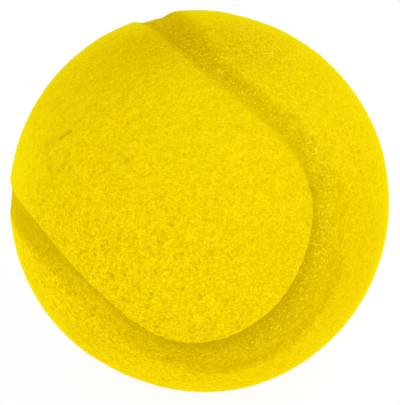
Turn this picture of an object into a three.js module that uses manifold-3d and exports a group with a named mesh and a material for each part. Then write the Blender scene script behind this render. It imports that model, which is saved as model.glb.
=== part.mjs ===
// A soft foam tennis ball: a solid foam core, two dog-bone cover panels glued round it, and the low foam band
// that fills the seam groove between the panels. Millimetres, +Z up. The origin is the middle of the small
// patch that the ball stands on, and the front panel's round end faces -Y and a little up.
import * as THREE from 'three';
import { mergeVertices } from 'three/addons/utils/BufferGeometryUtils.js';
import Module from 'manifold-3d';

const BALL_DIAMETER = 70;
const COVER_THICKNESS = 4;
const GROOVE_DEPTH = 0.9; // from the ball's surface down to the band
const GROOVE_WIDTH = 6; // lip to lip, along the front panel's waist
const GROOVE_WIDTH_AT_ENDS = 12.1; // lip to lip, round the front panel's two ends
const BACK_LIP_SETBACK = 1.15; // from the seam line to the back panel's lip
const LIP_RADIUS = 0.9; // rounding of each panel's edge into the groove
const GLUE_GAP = 0.3; // film of glue between neighbouring pieces
const RESTING_DENT = 0.5; // how far the ball's own weight presses the resting patch in

// The seam line's course over the ball, as shares of the ball's radius
const SEAM_BULGE_SHARE = 0.33; // third harmonic, which draws the panels in at the waist
const SEAM_SWING_SHARE = 0.75; // how far the line swings to either side of the panels' common equator

// How the seam is turned on the resting ball
const SEAM_SPIN = THREE.MathUtils.degToRad(-41); // about the front panel's middle, so its round end is at -Y
const SEAM_LEAN = THREE.MathUtils.degToRad(-49); // about Y, leaning the front panel's middle towards -X
const SEAM_TIP = THREE.MathUtils.degToRad(-16); // about X, tipping the front panel's round end up

// Fineness of the surfaces
const STEPS_ROUND_SEAM = 96; // a multiple of 4, so that both sides of a panel meet on its spine
const STEPS_OVER_PANEL = 6;
const STEPS_UNDER_PANEL = 6;
const STEPS_IN_LIP = 3;
const STEPS_ACROSS_BAND = 3;
const CORE_DETAIL = 8;

const BALL_RADIUS = BALL_DIAMETER / 2;
const COVER_INNER_RADIUS = BALL_RADIUS - COVER_THICKNESS;
const CORE_RADIUS = COVER_INNER_RADIUS - GLUE_GAP;
const BAND_RADIUS = BALL_RADIUS - GROOVE_DEPTH;
const LIP = Math.min(LIP_RADIUS, GROOVE_WIDTH / 3, COVER_THICKNESS / 2);
const SPINE_REACH = THREE.MathUtils.degToRad(85); // from a panel's middle to the middle of its round end
const END_SHARPNESS = 3; // how quickly the groove widens towards the front panel's ends

const FRONT = 1;
const BACK = -1;

const wasm = await Module();
wasm.setup();

// Direction of the seam line at turn t. It is the same line for both panels, turned half over.
function seamDirection(t) {
  const x = Math.cos(t) + SEAM_BULGE_SHARE * Math.cos(3 * t);
  const y = Math.sin(t) - SEAM_BULGE_SHARE * Math.sin(3 * t);
  const z = SEAM_SWING_SHARE * Math.sin(2 * t);
  return new THREE.Vector3(x, y, z).normalize();
}

// Direction square to the seam line, along the surface, towards the front panel.
function towardsFront(t) {
  const nudge = 1e-4;
  const along = seamDirection(t + nudge).sub(seamDirection(t - nudge));
  return seamDirection(t).cross(along).normalize();
}

// Point that lies offset millimetres from the seam line, measured on the ball's surface, at a given radius.
function besideSeam(t, offset, radius) {
  const angle = offset / BALL_RADIUS;
  const ahead = towardsFront(t).multiplyScalar(Math.sin(angle));
  return seamDirection(t).multiplyScalar(Math.cos(angle)).add(ahead).multiplyScalar(radius);
}

function grooveWidth(t) {
  const nearEnd = ((1 - Math.sin(2 * t)) / 2) ** END_SHARPNESS;
  return GROOVE_WIDTH + (GROOVE_WIDTH_AT_ENDS - GROOVE_WIDTH) * nearEnd;
}

// Offset of a panel's lip, where its surface starts to round down into the groove.
function lipOffset(t, side) {
  return side === FRONT ? grooveWidth(t) - BACK_LIP_SETBACK : -BACK_LIP_SETBACK;
}

function wallOffset(t, side) {
  return lipOffset(t, side) - side * LIP;
}

// Point on the middle line of a panel, level with turn t of its edge.
function spinePoint(t, side, radius) {
  const end = -side * Math.PI / 4;
  const share = Math.asin(Math.cos(t - end)) / (Math.PI / 2);
  const angle = SPINE_REACH * share;
  const reach = radius * Math.sin(angle);
  return new THREE.Vector3(reach * Math.cos(end), reach * Math.sin(end), side * radius * Math.cos(angle));
}

// One ring of points round the seam. The back panel's rings run the other way, so that its faces look out.
function ringRound(side, pointAt) {
  const turns = Array.from({ length: STEPS_ROUND_SEAM }, (_, step) => side * step / STEPS_ROUND_SEAM);
  return turns.map((turn) => pointAt(turn * 2 * Math.PI));
}

// Two triangles for the face with corners a, b, c and d, split along its shorter diagonal.
function splitFace(points, a, b, c, d) {
  const alongAC = points[a].distanceTo(points[c]) < points[b].distanceTo(points[d]);
  return alongAC ? [a, b, c, a, c, d] : [a, b, d, b, c, d];
}

// Closed skin through neighbouring rings of points. A looped skin runs on from its last ring to its first.
function skinThrough(rings, looped) {
  const points = rings.flat();
  const index = [];
  const strips = looped ? rings.length : rings.length - 1;
  for (let strip = 0; strip < strips; strip += 1) {
    const upper = strip * STEPS_ROUND_SEAM;
    const lower = ((strip + 1) % rings.length) * STEPS_ROUND_SEAM;
    for (let step = 0; step < STEPS_ROUND_SEAM; step += 1) {
      const next = (step + 1) % STEPS_ROUND_SEAM;
      index.push(...splitFace(points, lower + step, lower + next, upper + next, upper + step));
    }
  }
  const geometry = new THREE.BufferGeometry().setFromPoints(points);
  geometry.setIndex(index);
  return mergeVertices(geometry);
}

// Ring part of the way from a panel's edge to its spine, on the sphere of the given radius.
function panelRing(side, edgeOffset, radius, share) {
  return ringRound(side, (t) => {
    const edge = besideSeam(t, edgeOffset(t, side), radius);
    return edge.lerp(spinePoint(t, side, radius), share).setLength(radius);
  });
}

// Ring on the rounded lip: angle 0 is the foot of the rounding and a quarter turn is its top.
function lipRing(side, angle) {
  const radius = BALL_RADIUS - LIP + LIP * Math.sin(angle);
  return ringRound(side, (t) => besideSeam(t, lipOffset(t, side) - side * LIP * Math.cos(angle), radius));
}

// A dog-bone shell: over the top from the spine to the lip, down the groove's wall and back underneath.
function coverPanel(side) {
  const rings = [];
  for (let step = STEPS_OVER_PANEL; step > 0; step -= 1) {
    rings.push(panelRing(side, lipOffset, BALL_RADIUS, step / STEPS_OVER_PANEL));
  }
  for (let step = STEPS_IN_LIP; step >= 0; step -= 1) {
    rings.push(lipRing(side, (step / STEPS_IN_LIP) * (Math.PI / 2)));
  }
  for (let step = 0; step <= STEPS_UNDER_PANEL; step += 1) {
    rings.push(panelRing(side, wallOffset, COVER_INNER_RADIUS, step / STEPS_UNDER_PANEL));
  }
  return skinThrough(rings, false);
}

// The strip at the bottom of the groove, from wall to wall less the glue.
function seamBand() {
  const bandRing = (share, radius) => ringRound(FRONT, (t) => {
    const nearBack = wallOffset(t, BACK) + GLUE_GAP;
    const nearFront = wallOffset(t, FRONT) - GLUE_GAP;
    return besideSeam(t, THREE.MathUtils.lerp(nearBack, nearFront, share), radius);
  });
  const rings = [];
  for (let step = STEPS_ACROSS_BAND; step >= 0; step -= 1) {
    rings.push(bandRing(step / STEPS_ACROSS_BAND, BAND_RADIUS));
  }
  for (let step = 0; step <= STEPS_ACROSS_BAND; step += 1) {
    rings.push(bandRing(step / STEPS_ACROSS_BAND, COVER_INNER_RADIUS));
  }
  return skinThrough(rings, true);
}

function foamCore() {
  return new THREE.IcosahedronGeometry(CORE_RADIUS, CORE_DETAIL);
}

function solidOf(geometry) {
  const vertProperties = geometry.attributes.position.array;
  const triVerts = Uint32Array.from(geometry.index.array);
  return new wasm.Manifold(new wasm.Mesh({ numProp: 3, vertProperties, triVerts }));
}

function geometryOf(solid) {
  const mesh = solid.getMesh();
  const geometry = new THREE.BufferGeometry();
  geometry.setAttribute('position', new THREE.BufferAttribute(Float32Array.from(mesh.vertProperties), 3));
  geometry.setIndex(Array.from(mesh.triVerts));
  return geometry;
}

// Turns a piece as it lies on the resting ball, and lifts the ball on to its resting patch.
function laidToRest(geometry) {
  geometry.rotateZ(SEAM_SPIN);
  geometry.rotateY(SEAM_LEAN);
  geometry.rotateX(SEAM_TIP);
  return geometry.translate(0, 0, BALL_RADIUS - RESTING_DENT);
}

// The ball's weight presses it flat where it meets the ground.
function pressedFlat(geometry) {
  const ground = new THREE.BoxGeometry(BALL_DIAMETER, BALL_DIAMETER, BALL_DIAMETER);
  ground.translate(0, 0, -BALL_DIAMETER / 2);
  ground.deleteAttribute('normal');
  ground.deleteAttribute('uv');
  return geometryOf(solidOf(geometry).subtract(solidOf(mergeVertices(ground))));
}

function foamPiece(name, geometry, color) {
  const material = new THREE.MeshStandardMaterial({ color, roughness: 0.95, metalness: 0 });
  const mesh = new THREE.Mesh(geometry, material);
  mesh.name = name;
  return mesh;
}

const ball = new THREE.Group();
ball.add(foamPiece('foam_core', laidToRest(foamCore()), '#f0d20a'));
ball.add(foamPiece('cover_panel_front', pressedFlat(laidToRest(coverPanel(FRONT))), '#f2d50a'));
ball.add(foamPiece('cover_panel_back', pressedFlat(laidToRest(coverPanel(BACK))), '#f2d50a'));
ball.add(foamPiece('seam_band', pressedFlat(laidToRest(seamBand())), '#e4c600'));

export default ball;
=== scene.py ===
import math

import bmesh
import bpy
import numpy as np
from mathutils import Matrix, Vector
from mathutils.kdtree import KDTree


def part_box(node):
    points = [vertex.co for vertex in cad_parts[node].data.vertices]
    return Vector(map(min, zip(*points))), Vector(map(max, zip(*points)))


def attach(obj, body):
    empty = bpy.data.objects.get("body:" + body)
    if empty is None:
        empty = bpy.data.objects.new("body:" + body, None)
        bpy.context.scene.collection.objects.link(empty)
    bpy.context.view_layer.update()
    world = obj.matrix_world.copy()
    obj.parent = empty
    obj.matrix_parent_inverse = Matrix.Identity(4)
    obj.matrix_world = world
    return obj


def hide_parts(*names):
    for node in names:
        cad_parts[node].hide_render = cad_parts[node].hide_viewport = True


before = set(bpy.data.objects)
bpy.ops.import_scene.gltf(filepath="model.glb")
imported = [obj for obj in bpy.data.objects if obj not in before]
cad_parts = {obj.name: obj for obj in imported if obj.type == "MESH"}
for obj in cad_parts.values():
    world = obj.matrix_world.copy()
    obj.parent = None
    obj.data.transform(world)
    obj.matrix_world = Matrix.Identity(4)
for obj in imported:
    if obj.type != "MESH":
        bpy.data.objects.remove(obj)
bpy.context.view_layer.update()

mm = 0.001
coreLow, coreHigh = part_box("foam_core")
ballCentre = (coreLow + coreHigh) / 2
print("frame loaded, ball centre at", [round(v / mm, 2) for v in ballCentre], "mm")

# Where the ball lies in the photograph, in pixels of its frame
shot = {
    "frame": (400, 405),
    "ballMiddle": (200.1, 201.3),
    "ballRadius": 189.9,
    "elevation": 30,  # degrees above the floor
    "distance": 16,  # ball radii from the ball's middle
    "sensor": 36,  # mm
}

# The seam's course over the ball and the groove along it, in mm and degrees
seam = {
    "ballRadius": 35.0,
    "innerRadius": 31.0,  # underside of the panels
    "bulge": 0.33,  # third harmonic, draws the panels in at the waist
    "swing": 0.75,  # how far the line swings to either side
    "turns": (("X", -16), ("Y", -49), ("Z", -41)),  # how it lies on the resting ball
    "samples": 7200,  # points on the line that the skin is measured from
    "backLipSetback": 1.15,  # from the seam line to the back panel's lip
    "grooveWidth": 6.0,  # lip to lip along the front panel's waist
    "widthAtEnds": 12.45,  # lip to lip round the front panel's ends
    "endSharpness": 3.3,  # how quickly it widens towards them
    "endShift": 5,  # the wide stretch lies a little past the ends' middles
    "flare": (46, 1.1, 8),  # wider stretch over the top: place, mm, reach
    "sidestep": (52, 2.4, 7),  # where the groove strays towards the front panel: place, mm, reach
    "backLead": 1.0,  # how far outside its lip the back panel starts to dip
    "backShoulder": 2.0,  # soft edge of the back panel
    "frontLead": 0.3,  # how far outside its lip the front panel starts to dip
    "pressShut": 0.75,  # share of the torn cells that the press has closed
    "fleckSpread": 0.35,  # how far the flecks reach from their middle, as a share of the groove's width
    "foldGlints": 5.0,  # how many more there are on a fold that stands 1 mm proud
}

# How the groove changes along its way: degrees along the seam and the value there, lengths in mm
grooveRun = {
    "depth": (
        (205, 0.9), (222, 0.28), (231, 0.3), (243, 0.65), (262, 0.9), (385, 0.9), (402, 0.7), (415, 0.7),
        (430, 0.9)),
    "shoulder": (  # soft edge of the front panel
        (225, 1.2), (240, 1.2), (250, 1.7), (259, 1.7), (264, 1.2), (324, 1.2), (338, 1.9), (355, 2.6),
        (398, 2.6), (420, 1.2)),
    "crispness": (  # of that edge
        (225, 1.5), (240, 1.5), (250, 1.2), (259, 1.2), (264, 1.5), (324, 1.5), (338, 1.25), (355, 1.1),
        (398, 1.1), (420, 1.5)),
    "tone": (  # how far the groove is deeper in colour, partly the pressed skin's own colour and partly painted shade
        (225, 0.68), (240, 0.72), (252, 0.64), (264, 0.52), (276, 0.58), (288, 0.64), (300, 0.6),
        (312, 0.66), (318, 0.56), (324, 0.54), (330, 0.41), (336, 0.37), (348, 0.46), (360, 0.62),
        (372, 0.55), (384, 0.55), (396, 0.66), (410, 0.78)),
    "toneStart": (  # how far inside the back lip that begins
        (225, -0.4), (240, -0.4), (252, 0.6), (264, 1.0), (276, 0.8), (288, 0.2), (300, -0.9), (312, 0.1),
        (324, 1.2), (330, 2.4), (336, 1.4), (348, 0.8), (360, 0.9), (372, 0.2), (384, 0.4), (396, -1.2),
        (405, -1.5)),
    "toneFade": ((225, 1.3), (380, 1.3), (396, 2.4), (415, 2.4)),  # half the width over which it sets in
    "creasePlace": (  # the darkest line, painted shade along the pressed crease, as a share of the groove's width
        (225, 0.6), (240, 0.6), (252, 0.75), (264, 0.95), (276, 0.9), (288, 0.85), (300, 0.88), (312, 0.92),
        (324, 0.97), (336, 0.99), (348, 0.95), (360, 0.5), (372, 0.4), (384, 0.36), (396, 0.45), (410, 0.5)),
    "creaseReach": (  # of that line, to either side
        (225, 1.8), (240, 1.8), (252, 1.5), (264, 1.4), (276, 2.6), (288, 3.5), (300, 4.0), (312, 5.0),
        (324, 2.8), (336, 3.7), (348, 2.2), (360, 1.8), (372, 1.2), (384, 1.0), (396, 2.5), (410, 2.5)),
    "creaseShare": (  # how dark its painted shade is, and how deep it is
        (225, 0.7), (240, 0.7), (252, 0.65), (264, 1.15), (276, 1.1), (288, 1.15), (300, 1.2), (312, 1.15),
        (324, 1.25), (336, 1.5), (348, 0.75), (360, 0.25), (372, 0.6), (384, 0.4), (396, 0.2), (410, 0.2)),
    "glintFlecks": (  # how strong the painted glints are, pale flecks on the torn cells
        (225, 0.12), (280, 0.3), (310, 0.6), (326, 0.8), (338, 0.75), (350, 0.55), (365, 0.42), (395, 0.45),
        (420, 0.2)),
    "fleckPlace": (  # the middle of the flecks, as a share of the groove's width
        (225, 0.45), (310, 0.5), (323, 0.72), (335, 0.7), (347, 0.42), (365, 0.35), (395, 0.4), (420, 0.45)),
}

# Where the foam's cells are torn wider open: pixel of the photograph, reach in degrees, share.
# A third number of -1 puts a mark on the far side, behind that pixel. A share below 0 makes the cells finer.
coarsePatches = (
    ((116, 303), 29, 1.0),
    ((66, 308), 12, 0.2),
    ((252, 50), 15, 0.3),
    ((352, 150), 15, 0.25),
    ((147, 283), 6, -0.35),
    ((265, 150, -1), 24, 0.6),
    ((110, 240, -1), 14, 0.3),
)

# Where the foam is made a little deeper in colour, in the same terms; the patches towards the top and upper
# left are painted shade
shadeAndDarkPatches = (
    ((146, 47), 10, 0.42),
    ((325, 185), 3, 0.2),
    ((241, 45), 10, 0.37),
    ((358, 216), 8, 0.12),
    ((354, 277), 10, 0.16),
    ((96, 86), 20, 0.12),
    ((286, 261), 8, 0.1),
    ((105, 336), 7, 0.14),
    ((80, 333), 5, 0.12),
    ((379, 243), 6, 0.1),
    ((92, 352), 5, 0.12),
    ((120, 130, -1), 16, 0.14),
    ((285, 265, -1), 12, 0.16),
    ((190, 60, -1), 12, 0.2),
)

# Where it is paler, in the same terms; the patch at the left rim is painted light
paleAndLitPatches = (
    ((23, 162), 10, 0.38),
    ((322, 101), 14, 0.12),
    ((208, 126), 14, 0.1),
    ((148, 286), 5, 0.08),
    ((325, 200, -1), 14, 0.15),
    ((90, 180, -1), 12, 0.12),
)

# Where more of the foam's torn ends catch the light, in the same terms
fleckPatches = (((264, 48), 11, 0.85),)

# Nicks, faint creases and pressed folds: pixels from and to, reach and depth in mm.
# A depth below 0 is a fold that stands proud. Nicks also get painted shade in their colour, folds a painted
# highlight.
nicks = (
    ((71, 131), (61, 138), 0.4, 0.28),
    ((61, 138), (47, 144), 0.5, 0.13),
    ((47, 144), (50, 168), 0.8, 0.12),
    ((50, 168), (61, 202), 0.9, 0.10),
    ((125, 160), (126, 162), 0.45, 0.25),
    ((158, 241), (160, 243), 0.45, 0.25),
    ((210, 250), (211, 253), 0.45, 0.22),
    ((110, 275), (113, 278), 0.5, 0.25),
    ((287, 111), (300, 119), 0.35, 0.18),
    ((286, 127), (293, 131), 0.35, 0.14),
    ((302, 130), (305, 133), 0.4, 0.2),
    ((314, 136), (317, 139), 0.35, 0.18),
    ((328, 168), (329, 170), 0.45, 0.2),
    ((323, 174), (329, 188), 0.5, 0.14),
    ((312, 187), (318, 191), 0.45, 0.22),
    ((308, 125), (314, 133), 0.3, -0.1),
    ((313, 138), (321, 150), 0.3, -0.12),
    ((319, 140), (325, 148), 0.3, -0.1),
    ((306, 146), (314, 152), 0.3, -0.1),
    ((320, 157), (329, 164), 0.3, -0.14),
    ((324, 169), (330, 176), 0.3, -0.1),
    ((199, 57), (208, 55), 0.3, -0.1),
    ((250, 130, -1), (258, 139, -1), 0.4, 0.25),
    ((150, 220, -1), (151, 223, -1), 0.45, 0.25),
    ((300, 245, -1), (302, 246, -1), 0.45, 0.22),
)

# The photographed ball isn't quite round: degrees clockwise from the right of its outline, mm, degrees wide
lopsided = {
    "swells": (
        (70, 0.36, 20),
        (112, -0.26, 14),
        (215, 0.30, 30),
        (240, 0.12, 8),
        (267, 0.32, 9),
        (325, -0.20, 38),
    ),
}


def unit(vectors):
    return vectors / np.linalg.norm(vectors, axis=-1, keepdims=True)


def seamLine(turns):
    x = np.cos(turns) + seam["bulge"] * np.cos(3 * turns)
    y = np.sin(turns) - seam["bulge"] * np.sin(3 * turns)
    return unit(np.stack([x, y, seam["swing"] * np.sin(2 * turns)], -1))


def towardsFront(turns):  # square to the seam line along the surface
    nudge = 1e-4
    return unit(np.cross(seamLine(turns), seamLine(turns + nudge) - seamLine(turns - nudge)))


def near(turns, degrees, reach):  # 1 at a place along the seam, fading to 0 round it
    away = np.degrees(np.angle(np.exp(1j * (turns - math.radians(degrees)))))
    return np.exp(-0.5 * (away / reach) ** 2)


def grooveWidth(turns):
    fromEnd = turns - math.radians(seam["endShift"])
    nearEnd = ((1 - np.sin(2 * fromEnd)) / 2) ** seam["endSharpness"]
    place, wider, reach = seam["flare"]
    atEnds = (seam["widthAtEnds"] - seam["grooveWidth"]) * nearEnd
    return seam["grooveWidth"] + atEnds + wider * near(turns, place, reach)


def runsAlong(name, turns):  # the far side, which isn't shown, repeats the near one half a turn on
    places, values = np.array(grooveRun[name]).T
    far = (places - 180 > places[-1] - 360) & (places - 180 < places[0])
    places, values = np.append(places, places[far] - 180), np.append(values, values[far])
    return np.interp(np.degrees(turns), places, values, period=360)


def towardsPixel(x, y, side=1):  # direction from the ball's middle to a pixel, side -1 is the far side
    tilt = math.radians(shot["elevation"])
    up = np.array([0, math.sin(tilt), math.cos(tilt)])
    towardsCamera = np.array([0, -math.cos(tilt), math.sin(tilt)])
    away = shot["distance"]
    slope = 1 / math.sqrt(away ** 2 - 1) / shot["ballRadius"]  # of the sight line, for a pixel off the middle
    aside, above = (x - shot["ballMiddle"][0]) * slope, (shot["ballMiddle"][1] - y) * slope
    square = 1 + aside ** 2 + above ** 2
    inside = max(0, away ** 2 - square * (away ** 2 - 1))  # 0 on the ball's outline and past it
    depth = (away - side * math.sqrt(inside)) / square  # from the camera to the ball
    return unit(np.array([aside * depth, 0, 0]) + up * above * depth + towardsCamera * (away - depth))


def patch(directions, towards, reach):  # 1 in a direction from the ball's middle, fading to 0 round it
    away = np.degrees(np.arccos(np.clip(directions @ towards, -1, 1)))
    return np.exp(-0.5 * (away / reach) ** 2)


def patches(directions, places):
    return sum(share * patch(directions, towardsPixel(*pixel), reach) for pixel, reach, share in places)


def nickDepth(directions):  # mm, along each nick's straight run
    total = np.zeros(len(directions))
    for begin, end, reach, depth in nicks:
        start, run = towardsPixel(*begin), towardsPixel(*end) - towardsPixel(*begin)
        share = np.clip((directions - start) @ run / (run @ run), 0, 1)[:, None]
        away = np.linalg.norm(directions - start - share * run, axis=1) * seam["ballRadius"]
        total += depth * np.exp(-((away / reach) ** 2))
    return total


def swell(directions):  # mm that the ball's surface stands off a true sphere
    total = np.zeros(len(directions))
    for angle, height, width in lopsided["swells"]:
        x = shot["ballMiddle"][0] + shot["ballRadius"] * math.cos(math.radians(angle))
        y = shot["ballMiddle"][1] + shot["ballRadius"] * math.sin(math.radians(angle))
        total += height * patch(directions, towardsPixel(x, y), width)
    return total


seamTurn = np.array(Matrix.Identity(3))
for axis, angle in seam["turns"]:
    seamTurn = seamTurn @ np.array(Matrix.Rotation(math.radians(angle), 3, axis))

backSide, grooveFloor, frontSide = -1, 0, 1  # where a triangle or a joint lies, across the groove


def evenBall(subdivisions):  # directions to an icosphere's corners, and its triangles
    shape = bmesh.new()
    bmesh.ops.create_icosphere(shape, subdivisions=subdivisions, radius=1)
    points = unit(np.array([v.co for v in shape.verts]))
    faces = np.array([[v.index for v in f.verts] for f in shape.faces])
    shape.free()
    return points, faces


def nearestTurns(points):  # how far along the seam line each point is
    samples = np.linspace(0, 2 * math.pi, seam["samples"], endpoint=False)
    search = KDTree(len(samples))
    for number, point in enumerate(seamLine(samples)):
        search.insert(point, number)
    search.balance()
    return samples[[search.find(point)[1] for point in points]]


def drawnToFeet(across, faces, feet):  # moves corners on to the feet of the groove's two shoulders
    across = across.copy()
    joint = np.zeros(len(across), int)
    edges = np.concatenate([faces[:, [0, 1]], faces[:, [1, 2]], faces[:, [2, 0]]])
    for side, foot in feet.items():
        past = across - foot
        begin, end = edges[past[edges[:, 0]] * past[edges[:, 1]] < 0].T
        nearer = np.where(np.abs(past[begin]) < np.abs(past[end]), begin, end)
        joint[nearer] = side
        across[nearer] = foot[nearer]
    return across, joint


def skinMarks(points, turns, across, width):  # what the skin tree and the foam read at each corner
    run = {name: runsAlong(name, turns) for name in grooveRun}
    crease = np.exp(-(((across - run["creasePlace"] * width) / run["creaseReach"]) ** 2))
    share = np.clip((across - run["toneStart"]) / (2 * run["toneFade"]) + 0.5, 0, 1)
    share = share ** 2 * (3 - 2 * share)  # eased at both ends
    inGroove = share * np.clip((width - across) / run["shoulder"], 0, 1)
    nick = nickDepth(points)
    glintFlecks = np.exp(-((across / width - run["fleckPlace"]) / seam["fleckSpread"]) ** 2) * run["glintFlecks"]
    glintFlecks = glintFlecks + patches(points, fleckPatches) + seam["foldGlints"] * np.maximum(0, -nick)
    return {
        "across": across * mm,
        "width": width * mm,
        "shoulder": run["shoulder"] * mm,
        "depth": run["depth"] * mm,
        "crispness": run["crispness"],
        "tone": run["tone"] * share,
        "crease": crease * run["creaseShare"],
        "swell": swell(points) * mm,
        "nick": nick * mm,
        "glintFlecks": glintFlecks,
        "coarse": patches(points, coarsePatches) * (1 - seam["pressShut"] * inGroove),
        "shadeAndDarkPatch": patches(points, shadeAndDarkPatches),
        "palerAndLit": patches(points, paleAndLitPatches),
    }


def gridBall(subdivisions):  # even triangles, with edges along the feet of the groove's shoulders
    points, faces = evenBall(subdivisions)
    turns = nearestTurns(points)
    here, side = seamLine(turns), towardsFront(turns)
    place, aside, reach = seam["sidestep"]
    backLip = aside * near(turns, place, reach) - seam["backLipSetback"]
    across = np.arctan2((points * side).sum(1), (points * here).sum(1)) * seam["ballRadius"] - backLip
    width = grooveWidth(turns)
    frontFoot = width - runsAlong("shoulder", turns)
    feet = {backSide: np.full_like(width, seam["backShoulder"]), frontSide: frontFoot}
    across, joint = drawnToFeet(across, faces, feet)
    angle = ((across + backLip) / seam["ballRadius"])[:, None]
    onJoint = (joint != 0)[:, None]
    points = np.where(onJoint, np.cos(angle) * here + np.sin(angle) * side, points) @ seamTurn.T
    pastBack = (across - feet[backSide])[faces].sum(1)
    pastFront = (across - feet[frontSide])[faces].sum(1)
    part = np.where(pastFront > 0, frontSide, np.where(pastBack < 0, backSide, grooveFloor))
    marks = skinMarks(points, turns, across, width)
    return {"points": points, "faces": faces, "part": part, "joint": joint, "marks": marks}


# A closed shell: its share of the fine skin, its share of the coarse underside, and the walls between them
def cutPiece(name, part, fine, coarse):
    points, faces, joints, start = [], [], [], 0
    marks = {mark: [] for mark in ("skin", *fine["marks"])}
    for grid, radius, skin in ((fine, seam["ballRadius"], 1.0), (coarse, seam["innerRadius"], 0.0)):
        chosen = grid["faces"][grid["part"] == part]
        used, flat = np.unique(chosen, return_inverse=True)
        chosen = flat.reshape(-1, 3) + start
        faces.append(chosen if skin else chosen[:, ::-1])
        points.append(grid["points"][used] * radius * mm + np.array(ballCentre))
        joints.append(grid["joint"][used])
        marks["skin"].append(np.full(len(used), skin))
        for mark, values in grid["marks"].items():
            marks[mark].append(values[used])
        start += len(used)
    mesh = bpy.data.meshes.new(name)
    mesh.from_pydata(np.concatenate(points).tolist(), [], np.concatenate(faces).tolist())
    jointOf = np.concatenate(joints)
    shape = bmesh.new()
    shape.from_mesh(mesh)
    for side in (backSide, frontSide):
        rim = [e for e in shape.edges if e.is_boundary and all(jointOf[v.index] == side for v in e.verts)]
        for edge in rim:
            edge.smooth = False
        if rim:
            bmesh.ops.bridge_loops(shape, edges=rim)
    bmesh.ops.recalc_face_normals(shape, faces=shape.faces)
    for face in shape.faces:
        face.smooth = True
    print(name, "open edges left:", sum(not e.is_manifold for e in shape.edges))
    shape.to_mesh(mesh)
    shape.free()
    for mark, values in marks.items():
        values = np.concatenate(values).astype(np.float32)
        mesh.attributes.new(mark, "FLOAT", "POINT").data.foreach_set("value", values)
    piece = bpy.data.objects.new(name, mesh)
    bpy.context.scene.collection.objects.link(piece)
    return piece


def linearColour(code):
    values = [int(code[i:i + 2], 16) / 255 for i in (1, 3, 5)]
    return (*[v / 12.92 if v <= 0.04045 else ((v + 0.055) / 1.055) ** 2.4 for v in values], 1)


# Inputs go from a socket's name or number to a value, or to a socket to link
def addNode(tree, kind, inputs=None, **settings):
    node = tree.nodes.new(kind)
    for name, value in settings.items():
        setattr(node, name, value)
    for socket, value in (inputs or {}).items():
        if isinstance(value, bpy.types.NodeSocket):
            tree.links.new(value, node.inputs[socket])
        else:
            node.inputs[socket].default_value = value
    return node


# Kinds of node that come up often
mathNode = "ShaderNodeMath"
vectorNode = "ShaderNodeVectorMath"
rangeNode = "ShaderNodeMapRange"
noiseNode = "ShaderNodeTexNoise"
mixNode = "ShaderNodeMix"  # for colours its factor is socket 0, its inputs are 6 and 7 and its output is 2

skinNoise = {"detail": 1.0, "edgeRoughness": 0.6, "lumpRoughness": 0.5}  # of the noise in the skin tree


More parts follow.
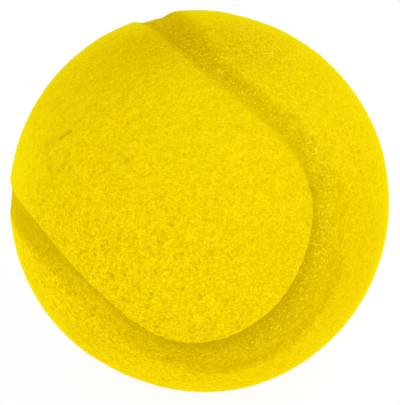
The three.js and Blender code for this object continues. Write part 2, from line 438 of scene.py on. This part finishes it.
# Presses the groove in, adds the foam's cells and lumps, and flattens the ball where it stands
def foamSkinTree():
    tree = bpy.data.node_groups.new("foamSkin", "GeometryNodeTree")
    sockets = tree.interface
    sockets.new_socket("Geometry", in_out="INPUT", socket_type="NodeSocketGeometry")
    for name in ("Back Lead", "Back Shoulder", "Front Lead", "Wobble Size", "Wobble", "Crumb Size", "Crumb",
                 "Crease Depth", "Pressed Relief", "Coarse Relief", "Cell Size", "Hollow Reach", "Pit Depth",
                 "Open Share", "Lump Size", "Lump Height", "Dent Size", "Dent Height", "Seed"):
        sockets.new_socket(name, in_out="INPUT", socket_type="NodeSocketFloat")
    sockets.new_socket("Centre", in_out="INPUT", socket_type="NodeSocketVector")
    sockets.new_socket("Foam", in_out="INPUT", socket_type="NodeSocketMaterial")
    sockets.new_socket("Geometry", in_out="OUTPUT", socket_type="NodeSocketGeometry")
    given = addNode(tree, "NodeGroupInput").outputs
    mark = {}
    for name in ("across", "width", "shoulder", "crispness", "tone", "depth", "crease", "swell", "nick",
                 "coarse", "shadeAndDarkPatch", "skin"):
        reader = addNode(tree, "GeometryNodeInputNamedAttribute", {"Name": name}, data_type="FLOAT")
        mark[name] = reader.outputs[0]
    place = addNode(tree, "GeometryNodeInputPosition").outputs[0]
    outward = addNode(tree, vectorNode, {0: place, 1: given["Centre"]}, operation="SUBTRACT").outputs[0]
    outward = addNode(tree, vectorNode, {0: outward}, operation="NORMALIZE").outputs[0]

    # How far the groove is pressed in, 1 on its floor, with straying and crumbly edges.
    # Noise runs from 0 to 1, so it is doubled and lowered by 1 to stray to either side.
    crumbs = addNode(tree, mathNode, {0: mark["coarse"], 1: given["Crumb"]}, operation="MULTIPLY").outputs[0]
    across = mark["across"]
    for size, reach in ((given["Wobble Size"], given["Wobble"]), (given["Crumb Size"], crumbs)):
        scale = addNode(tree, mathNode, {0: 1.0, 1: size}, operation="DIVIDE").outputs[0]
        stray = addNode(tree, noiseNode,
                        {"Vector": place, "W": given["Seed"], "Scale": scale, "Detail": skinNoise["detail"],
                         "Roughness": skinNoise["edgeRoughness"]}, noise_dimensions="4D").outputs[0]
        stray = addNode(tree, mathNode, {0: stray, 1: 2.0, 2: -1.0}, operation="MULTIPLY_ADD").outputs[0]
        across = addNode(tree, mathNode, {0: stray, 1: reach, 2: across}, operation="MULTIPLY_ADD").outputs[0]
    outside = addNode(tree, mathNode, {0: given["Back Lead"], 1: -1.0}, operation="MULTIPLY").outputs[0]
    fromBack = addNode(tree, rangeNode,
                       {"Value": across, "From Min": outside, "From Max": given["Back Shoulder"]},
                       interpolation_type="SMOOTHSTEP").outputs[0]
    inside = addNode(tree, mathNode, {0: mark["width"], 1: across}, operation="SUBTRACT").outputs[0]
    outside = addNode(tree, mathNode, {0: given["Front Lead"], 1: -1.0}, operation="MULTIPLY").outputs[0]
    lip = addNode(tree, rangeNode,
                  {"Value": inside, "From Min": outside, "From Max": mark["shoulder"], "To Min": 1.0,
                   "To Max": 0.0}, interpolation_type="SMOOTHSTEP").outputs[0]
    lip = addNode(tree, mathNode, {0: lip, 1: mark["crispness"]}, operation="POWER").outputs[0]
    fromFront = addNode(tree, mathNode, {0: 1.0, 1: lip}, operation="SUBTRACT").outputs[0]
    pressed = addNode(tree, mathNode, {0: fromBack, 1: fromFront}, operation="MULTIPLY").outputs[0]
    pressed = addNode(tree, mathNode, {0: pressed, 1: mark["skin"]}, operation="MULTIPLY").outputs[0]
    crease = addNode(tree, mathNode, {0: mark["crease"], 1: pressed}, operation="MULTIPLY").outputs[0]

    # How rough the skin is: less where it is pressed, more in the coarse patches, not at all underneath
    rough = addNode(tree, rangeNode,
                    {"Value": pressed, "To Min": 1.0, "To Max": given["Pressed Relief"]}).outputs[0]
    coarse = addNode(tree, mathNode, {0: mark["coarse"], 1: given["Coarse Relief"], 2: 1.0},
                     operation="MULTIPLY_ADD").outputs[0]
    for share in (coarse, mark["skin"]):
        rough = addNode(tree, mathNode, {0: rough, 1: share}, operation="MULTIPLY").outputs[0]

    # Larger cells, of which some stand open
    cellScale = addNode(tree, mathNode, {0: 1.0, 1: given["Cell Size"]}, operation="DIVIDE").outputs[0]
    cells = addNode(tree, "ShaderNodeTexVoronoi", {"Vector": place, "W": given["Seed"], "Scale": cellScale},
                    voronoi_dimensions="4D").outputs
    pit = addNode(tree, rangeNode,
                  {"Value": cells["Distance"], "From Min": 0.0, "From Max": given["Hollow Reach"],
                   "To Min": 1.0, "To Max": 0.0}, interpolation_type="SMOOTHSTEP").outputs[0]
    chance = addNode(tree, "FunctionNodeSeparateColor", {0: cells["Color"]}).outputs[0]
    shut = addNode(tree, mathNode, {0: 1.0, 1: given["Open Share"]}, operation="SUBTRACT").outputs[0]
    opened = addNode(tree, rangeNode, {"Value": chance, "From Min": shut, "From Max": 1.0}).outputs[0]
    for share in (opened, rough):
        pit = addNode(tree, mathNode, {0: pit, 1: share}, operation="MULTIPLY").outputs[0]

    # Height of the skin above the true sphere
    height = addNode(tree, mathNode, {0: mark["swell"], 1: mark["nick"]}, operation="SUBTRACT").outputs[0]
    height = addNode(tree, mathNode, {0: height, 1: mark["skin"]}, operation="MULTIPLY").outputs[0]
    for amount, reach in (
        (pressed, mark["depth"]),
        (crease, given["Crease Depth"]),
        (pit, given["Pit Depth"]),
    ):
        down = addNode(tree, mathNode, {0: amount, 1: -1.0}, operation="MULTIPLY").outputs[0]
        height = addNode(tree, mathNode, {0: down, 1: reach, 2: height}, operation="MULTIPLY_ADD").outputs[0]
    for size, reach in (("Lump Size", "Lump Height"), ("Dent Size", "Dent Height")):
        scale = addNode(tree, mathNode, {0: 1.0, 1: given[size]}, operation="DIVIDE").outputs[0]
        swing = addNode(tree, noiseNode,
                        {"Vector": place, "W": given["Seed"], "Scale": scale, "Detail": skinNoise["detail"],
                         "Roughness": skinNoise["lumpRoughness"]}, noise_dimensions="4D").outputs[0]
        swing = addNode(tree, mathNode, {0: swing, 1: 2.0, 2: -1.0}, operation="MULTIPLY_ADD").outputs[0]
        swing = addNode(tree, mathNode, {0: swing, 1: rough}, operation="MULTIPLY").outputs[0]
        height = addNode(tree, mathNode, {0: swing, 1: given[reach], 2: height},
                         operation="MULTIPLY_ADD").outputs[0]
    shift = addNode(tree, vectorNode, {0: outward, "Scale": height}, operation="SCALE").outputs[0]

    # What the foam's colour reads: the groove's deeper tone, partly the pressed skin's colour and partly
    # painted shade, with the darker patches; then the new shape, kept above the floor
    pressedToneAndShade = addNode(tree, mathNode, {0: fromFront, 1: mark["tone"], 2: mark["shadeAndDarkPatch"]},
                       operation="MULTIPLY_ADD").outputs[0]
    shape = given["Geometry"]
    for name, value in (("pressed", pressedToneAndShade), ("creaseShade", crease), ("pitShade", pit)):
        shape = addNode(tree, "GeometryNodeStoreNamedAttribute",
                        {"Geometry": shape, "Name": name, "Value": value}, data_type="FLOAT").outputs[0]
    shape = addNode(tree, "GeometryNodeSetPosition", {"Geometry": shape, "Offset": shift}).outputs[0]
    moved = addNode(tree, "GeometryNodeInputPosition").outputs[0]
    apart = addNode(tree, "ShaderNodeSeparateXYZ", {0: moved}).outputs
    above = addNode(tree, mathNode, {0: apart[2], 1: 0.0}, operation="MAXIMUM").outputs[0]
    level = addNode(tree, "ShaderNodeCombineXYZ", {0: apart[0], 1: apart[1], 2: above}).outputs[0]
    shape = addNode(tree, "GeometryNodeSetPosition", {"Geometry": shape, "Position": level}).outputs[0]
    shape = addNode(tree, "GeometryNodeRealizeInstances", {0: shape}).outputs[0]
    shape = addNode(tree, "GeometryNodeSetMaterial",
                    {"Geometry": shape, "Material": given["Foam"]}).outputs[0]
    addNode(tree, "NodeGroupOutput", {0: shape})
    return tree


def grownFoam(piece, tree, relief, foam):  # runs the skin tree and keeps its result as a plain mesh
    values = {"Foam": foam, "Centre": ballCentre}
    for name, key in (("Seed", "seed"), ("Open Share", "openShare"), ("Hollow Reach", "hollowReach"),
                      ("Pressed Relief", "pressedRelief"), ("Coarse Relief", "coarseRelief")):
        values[name] = relief[key]
    for name, key in (("Wobble Size", "wobbleSize"), ("Wobble", "wobble"), ("Crumb Size", "crumbSize"),
                      ("Crumb", "crumb"), ("Crease Depth", "creaseDepth"), ("Cell Size", "cellSize"),
                      ("Pit Depth", "pitDepth"), ("Lump Size", "lumpSize"), ("Lump Height", "lumpHeight"),
                      ("Dent Size", "dentSize"), ("Dent Height", "dentHeight")):
        values[name] = relief[key] * mm
    for name, key in (("Back Lead", "backLead"), ("Back Shoulder", "backShoulder"),
                      ("Front Lead", "frontLead")):
        values[name] = seam[key] * mm
    modifier = piece.modifiers.new("foamSkin", "NODES")
    modifier.node_group = tree
    for item in tree.interface.items_tree:
        if item.in_out == "INPUT" and item.name in values:
            modifier[item.identifier] = values[item.name]
    depsgraph = bpy.context.evaluated_depsgraph_get()
    mesh = bpy.data.meshes.new_from_object(piece.evaluated_get(depsgraph), preserve_all_data_layers=True,
                                           depsgraph=depsgraph)
    piece.modifiers.clear()
    piece.data = mesh
    print(piece.name, len(mesh.polygons), "faces")
    return piece


def foamMaterial(name, look):
    material = bpy.data.materials.new(name)
    material.use_nodes = True
    tree = material.node_tree
    tree.nodes.clear()
    mark = {}
    for read in ("pressed", "creaseShade", "pitShade", "coarse", "glintFlecks", "nick", "palerAndLit"):
        mark[read] = addNode(tree, "ShaderNodeAttribute", attribute_name=read).outputs["Fac"]
    place = addNode(tree, "ShaderNodeTexCoord").outputs["Object"]
    along = addNode(tree, vectorNode, {0: place, 1: look["rise"]}, operation="PROJECT").outputs[0]
    risen = addNode(tree, vectorNode, {0: along, 1: [1 / look["stretch"] - 1] * 3, 2: place},
                    operation="MULTIPLY_ADD").outputs[0]
    noise = {}
    for pattern, space in (("grain", place), ("mottle", risen), ("glintFlecks", place), ("holes", place)):
        size, detail, roughness = look[pattern]
        noise[pattern] = addNode(tree, noiseNode,
                                 {"Vector": space, "Scale": 1 / (size * mm), "Detail": detail,
                                  "Roughness": roughness}).outputs[0]

    # Grain and mottling, in the colours of loose foam and of pressed foam
    tone = addNode(tree, mathNode, {0: noise["mottle"], 1: look["mottleShare"], 2: noise["grain"]},
                   operation="MULTIPLY_ADD").outputs[0]
    middle = 0.5 + 0.5 * look["mottleShare"]
    tone = addNode(tree, mathNode, {0: tone, 1: middle}, operation="SUBTRACT").outputs[0]
    gain = addNode(tree, mathNode,
                   {0: mark["coarse"], 1: look["contrast"] * look["coarseGain"], 2: look["contrast"]},
                   operation="MULTIPLY_ADD").outputs[0]
    tone = addNode(tree, mathNode, {0: tone, 1: gain, 2: 0.5}, operation="MULTIPLY_ADD",
                   use_clamp=True).outputs[0]
    loose, closed = [
        addNode(tree, mixNode, {0: tone, 6: linearColour(look[dark]), 7: linearColour(look[pale])},
                data_type="RGBA").outputs[2]
        for dark, pale in (("shade", "light"), ("pressedShade", "pressedLight"))]
    colour = addNode(tree, mixNode, {0: mark["pressed"], 6: loose, 7: closed}, data_type="RGBA").outputs[2]

    # Marks on top, where a share below 0 counts as none: paler patches, partly painted light; painted shade
    # along the crease, in open cells, torn cells and nicks; painted highlights on folds and painted glints
    bare, full = look["fleckRange"]
    glint = addNode(tree, rangeNode,
                    {"Value": noise["glintFlecks"], "From Min": bare, "From Max": full}).outputs[0]
    glint = addNode(tree, mathNode, {0: glint, 1: mark["glintFlecks"]}, operation="MULTIPLY").outputs[0]
    shut, torn = look["holeRange"]
    hole = addNode(tree, rangeNode,
                   {"Value": noise["holes"], "From Min": shut, "From Max": torn}).outputs[0]
    share = addNode(tree, mathNode, {0: mark["coarse"], 1: look["coarseHoles"], 2: look["holeShare"]},
                    operation="MULTIPLY_ADD").outputs[0]
    hole = addNode(tree, mathNode, {0: hole, 1: share}, operation="MULTIPLY").outputs[0]
    for amount, share, tint in (
        (mark["palerAndLit"], 1.0, "paleAndSheenTint"),
        (mark["creaseShade"], look["creaseShare"], "crease"),
        (mark["pitShade"], look["pitShadeShare"], "pit"),
        (mark["nick"], look["nickShadeShare"] / mm, "pit"),
        (mark["nick"], -look["ridgeHighlightShare"] / mm, "glint"),
        (hole, 1.0, "pit"),
        (glint, 1.0, "glint"),
    ):
        amount = addNode(tree, mathNode, {0: amount, 1: share}, operation="MULTIPLY").outputs[0]
        colour = addNode(tree, mixNode, {0: amount, 6: colour, 7: linearColour(look[tint])},
                         data_type="RGBA").outputs[2]

    # Painted sheen: the colour turns paler towards the outline, except where the foam is pressed
    edge = addNode(tree, "ShaderNodeLayerWeight", {"Blend": 0.5}).outputs["Facing"]
    edge = addNode(tree, mathNode, {0: edge, 1: look["sheenFalloff"]}, operation="POWER").outputs[0]
    share = addNode(tree, mathNode, {0: mark["pressed"], 1: -look["paintedSheen"], 2: look["paintedSheen"]},
                    operation="MULTIPLY_ADD", use_clamp=True).outputs[0]
    edge = addNode(tree, mathNode, {0: edge, 1: share}, operation="MULTIPLY").outputs[0]
    colour = addNode(tree, mixNode, {0: edge, 6: colour, 7: linearColour(look["paleAndSheenTint"])},
                     data_type="RGBA").outputs[2]

    sunk = addNode(tree, mathNode, {0: hole, 1: -look["holeDepth"], 2: noise["grain"]},
                   operation="MULTIPLY_ADD").outputs[0]
    bump = addNode(tree, "ShaderNodeBump",
                   {"Strength": 1.0, "Distance": look["bumpHeight"] * mm, "Height": sunk}).outputs[0]
    shader = addNode(tree, "ShaderNodeBsdfPrincipled",
                     {"Base Color": colour, "Normal": bump, "Roughness": look["roughness"],
                      "Specular IOR Level": look["specular"]}).outputs[0]
    addNode(tree, "ShaderNodeOutputMaterial", {"Surface": shader})
    return material


# Polyurethane foam with open cells, cut and buffed: dead matt, with painted shade as dark specks where cells
# stand open, and deeper in colour where the seam press has closed its skin, partly the pressed skin's colour
# and partly painted shade
panelLook = {
    "light": "#fee206",
    "shade": "#e7c403",
    "pressedLight": "#e4c200",
    "pressedShade": "#bd9c00",
    "roughness": 1.0,
    "specular": 0.0,
    "grain": (0.38, 2.0, 0.65),  # this and the next three: size in mm, detail, roughness of the noise
    "mottle": (1.1, 2.0, 0.5),
    "glintFlecks": (0.45, 2.0, 0.5),
    "holes": (0.68, 1.0, 0.4),
    "rise": (0.71, 0.35, 0.61),  # the way the foam rose as it set, which draws its mottling out
    "stretch": 1.9,
    "mottleShare": 0.35,
    "contrast": 2.4,
    "coarseGain": 0.75,  # how much more of it there is in the coarse patches
    # painted shade along the crease
    "crease": "#b89800",
    "creaseShare": 0.45,
    # painted shade in open cells, torn holes and nicks
    "pit": "#a88600",
    "pitShadeShare": 0.3,
    "nickShadeShare": 1.2,  # how far painted shade turns the colour of a nick 1 mm deep
    "ridgeHighlightShare": 1.5,  # and painted highlight that of a fold 1 mm high
    "glint": "#ffec28",
    "fleckRange": (0.585, 0.64),  # of the noise, from bare foam to a full fleck
    "holeRange": (0.42, 0.28),  # of the noise, from a shut cell to a torn one
    "holeShare": 0.05,
    "coarseHoles": 0.34,  # how many more stand open in the coarse patches
    "holeDepth": 1.0,  # share of the bump's height
    "bumpHeight": 0.2,  # mm
    "paintedSheen": 1.0,  # painted sheen: the colour turns paler towards the outline
    "sheenFalloff": 5.0,
    # colour of the painted sheen and of the paler patches
    "paleAndSheenTint": "#fff20a",
}
panelFoam = foamMaterial("openCellFoam", panelLook)
bandLook = dict(panelLook, bumpHeight=0.08)  # the same foam with its skin pressed smooth
bandFoam = foamMaterial("pressedFoamSkin", bandLook)

skinTree = foamSkinTree()
skinRelief = {
    "wobbleSize": 2.0,  # mm, as the other sizes, depths and heights
    "wobble": 0.25,
    "crumbSize": 0.9,  # of the torn edges in the coarse patches
    "crumb": 0.8,
    "creaseDepth": 0.25,
    "pressedRelief": 0.5,  # share of the relief that the seam press leaves
    "coarseRelief": 1.0,  # how much more there is in the coarse patches
    "cellSize": 0.95,  # the larger cells only, the fine ones are in the material
    "hollowReach": 0.62,  # share of a cell's size over which it sinks
    "pitDepth": 0.12,
    "openShare": 0.7,
    "lumpSize": 1.5,
    "lumpHeight": 0.09,
    "dentSize": 9.0,
    "dentHeight": 0.15,
    "seed": 3.0,
}
gridFineness = {"skin": 8, "underside": 6}  # icosphere subdivisions
skinGrid = gridBall(gridFineness["skin"])
undersideGrid = gridBall(gridFineness["underside"])
print("grid cut at the groove,", len(skinGrid["faces"]), "triangles in the skin")
frontCover = cutPiece("frontCover", frontSide, skinGrid, undersideGrid)
frontCover = grownFoam(frontCover, skinTree, skinRelief, panelFoam)
backCover = cutPiece("backCover", backSide, skinGrid, undersideGrid)
backCover = grownFoam(backCover, skinTree, skinRelief, panelFoam)
seamFloor = cutPiece("seamFloor", grooveFloor, skinGrid, undersideGrid)
seamFloor = grownFoam(seamFloor, skinTree, skinRelief, bandFoam)

# Foam ball inside, cut from the same block
coreShape = {"radius": 30.7, "subdivisions": 7}  # mm, icosphere subdivisions


def coreBall(name, sizes):
    shape = bmesh.new()
    bmesh.ops.create_icosphere(shape, subdivisions=sizes["subdivisions"], radius=sizes["radius"] * mm,
                               matrix=Matrix.Translation(ballCentre))
    mesh = bpy.data.meshes.new(name)
    shape.to_mesh(mesh)
    shape.free()
    mesh.shade_smooth()
    for mark, value in (("across", -1.0), ("shoulder", mm), ("skin", 1.0)):  # far outside any groove
        values = np.full(len(mesh.vertices), value, np.float32)
        mesh.attributes.new(mark, "FLOAT", "POINT").data.foreach_set("value", values)
    piece = bpy.data.objects.new(name, mesh)
    bpy.context.scene.collection.objects.link(piece)
    return piece


innerBall = grownFoam(coreBall("innerBall", coreShape), skinTree, skinRelief, panelFoam)

for piece, node, slot in (
    (frontCover, "cover_panel_front", "panel_foam"),
    (backCover, "cover_panel_back", "panel_foam"),
    (seamFloor, "seam_band", "band_foam"),
    (innerBall, "foam_core", "core_foam"),
):
    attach(piece, "root")
    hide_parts(node)
print("pieces placed")

# Studio: a white light table, even light all round, a soft key from the upper right and two weaker lamps
studio = {
    "tent": 0.83,
    "floorSize": 4.0,  # m
    "floorColour": "#f4f4f4",
    "glowColour": "#ffffff",
    "floorGlow": 0.92,  # how far the floor shows as plain white to the camera
    "tableLight": 0.21,  # what the table itself gives the underside of the ball
    "lamps": (
        ("keyLamp", (0.50, -0.25, 0.65), 0.4, 1.23),  # name, place in m, size in m, watts
        ("leftLamp", (-0.80, 0.10, 0.15), 0.4, 0.42),
        ("frontLamp", (-0.50, -0.60, 0.30), 0.4, 0.45),
    ),
}


def seenOutright(tree):  # 1 where the camera sees a thing itself, in a gloss or through glass
    path = addNode(tree, "ShaderNodeLightPath").outputs
    seen = path["Is Camera Ray"]
    for kind in ("Is Glossy Ray", "Is Transmission Ray"):
        seen = addNode(tree, mathNode, {0: seen, 1: path[kind]}, operation="MAXIMUM").outputs[0]
    return seen


# White paper over a lit table: matt and even, it keeps the ball's shadow and shows as near white
def studioFloor():
    material = bpy.data.materials.new("whitePaperSweep")
    material.use_nodes = True
    tree = material.node_tree
    tree.nodes.clear()
    white = linearColour(studio["glowColour"])
    paper = addNode(tree, "ShaderNodeBsdfDiffuse", {"Color": linearColour(studio["floorColour"])}).outputs[0]
    light = addNode(tree, "ShaderNodeEmission", {"Color": white, "Strength": studio["tableLight"]}).outputs[0]
    paper = addNode(tree, "ShaderNodeAddShader", {0: paper, 1: light}).outputs[0]
    glow = addNode(tree, "ShaderNodeEmission", {"Color": white, "Strength": 1.0}).outputs[0]
    share = addNode(tree, mathNode, {0: seenOutright(tree), 1: studio["floorGlow"]},
                    operation="MULTIPLY").outputs[0]
    mixed = addNode(tree, "ShaderNodeMixShader", {0: share, 1: paper, 2: glow}).outputs[0]
    addNode(tree, "ShaderNodeOutputMaterial", {"Surface": mixed})
    half = studio["floorSize"] / 2
    corners = [(-half, -half, 0), (half, -half, 0), (half, half, 0), (-half, half, 0)]
    mesh = bpy.data.meshes.new("studioFloor")
    mesh.from_pydata(corners, [], [(0, 1, 2, 3)])
    mesh.materials.append(material)
    floor = bpy.data.objects.new("studioFloor", mesh)
    bpy.context.scene.collection.objects.link(floor)


def studioLight():
    world = bpy.data.worlds.new("lightTent")
    bpy.context.scene.world = world
    world.use_nodes = True
    tree = world.node_tree
    tree.nodes.clear()
    strength = addNode(tree, rangeNode,
                       {"Value": seenOutright(tree), "To Min": studio["tent"], "To Max": 1.0}).outputs[0]
    white = linearColour(studio["glowColour"])
    tent = addNode(tree, "ShaderNodeBackground", {"Color": white, "Strength": strength}).outputs[0]
    addNode(tree, "ShaderNodeOutputWorld", {"Surface": tent})
    for name, place, size, watts in studio["lamps"]:
        lamp = bpy.data.lights.new(name, "AREA")
        lamp.size = size
        lamp.energy = watts
        stand = bpy.data.objects.new(name, lamp)
        stand.location = place
        stand.rotation_euler = (ballCentre - Vector(place)).to_track_quat("-Z", "Y").to_euler()
        stand.visible_camera = False
        bpy.context.scene.collection.objects.link(stand)


def photoCamera():
    tilt = math.radians(shot["elevation"])
    away = seam["ballRadius"] * mm * shot["distance"]
    focal = shot["ballRadius"] / math.tan(math.asin(1 / shot["distance"]))  # in pixels
    pixel = away / focal  # m at the ball's middle
    outward = Vector((0, -math.cos(tilt), math.sin(tilt)))
    right, up = Vector((1, 0, 0)), Vector((0, math.sin(tilt), math.cos(tilt)))
    aside = shot["frame"][0] / 2 - shot["ballMiddle"][0]
    below = shot["frame"][1] / 2 - shot["ballMiddle"][1]
    lens = bpy.data.cameras.new("photoCamera")
    lens.sensor_width = shot["sensor"]
    lens.lens = focal * shot["sensor"] / max(shot["frame"])
    camera = bpy.data.objects.new("photoCamera", lens)
    camera.location = ballCentre + outward * away + right * aside * pixel - up * below * pixel
    camera.rotation_euler = (-outward).to_track_quat("-Z", "Y").to_euler()
    bpy.context.scene.collection.objects.link(camera)
    bpy.context.scene.camera = camera


studioFloor()
studioLight()
photoCamera()
bpy.context.scene.view_settings.view_transform = "Standard"
print("studio and camera set")
